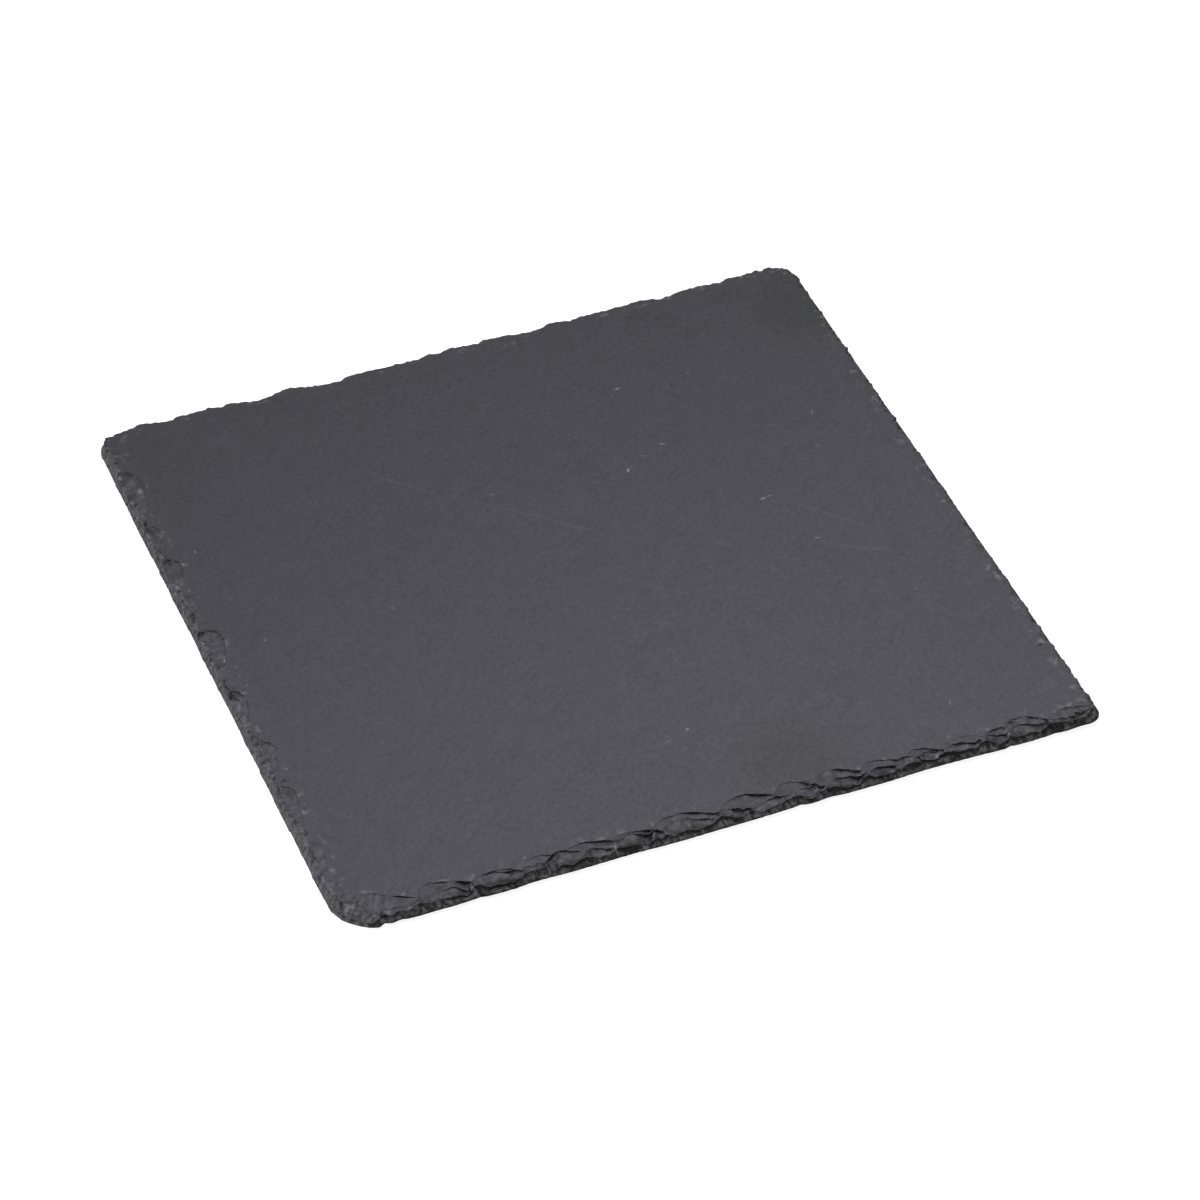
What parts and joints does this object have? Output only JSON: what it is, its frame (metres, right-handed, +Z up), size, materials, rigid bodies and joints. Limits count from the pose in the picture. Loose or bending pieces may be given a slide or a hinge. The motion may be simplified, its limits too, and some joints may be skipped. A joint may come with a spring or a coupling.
{
  "type": "slate serving board",
  "caption": "Square split-slate serving board with a flat serving face, hand-dressed flaked edges and foam feet glued under its corners.",
  "frame": {"origin": "middle of the board's outline, on the plane that the four feet stand on", "axes": "+X to the right along the front side, +Y from the front side to the back side, +Z up out of the serving face"},
  "size_m": [0.25, 0.25, 0.0072],
  "materials": {
    "slate": "matte",
    "foam": "matte",
    "adhesive": "satin"
  },
  "bodies": {
    "root": {"slate_slab": "slate", "foam_foot_front_left": "foam", "foam_foot_front_right": "foam", "foam_foot_back_right": "foam", "foam_foot_back_left": "foam", "adhesive_front_left": "adhesive", "adhesive_front_right": "adhesive", "adhesive_back_right": "adhesive", "adhesive_back_left": "adhesive"}
  },
  "joints": []
}
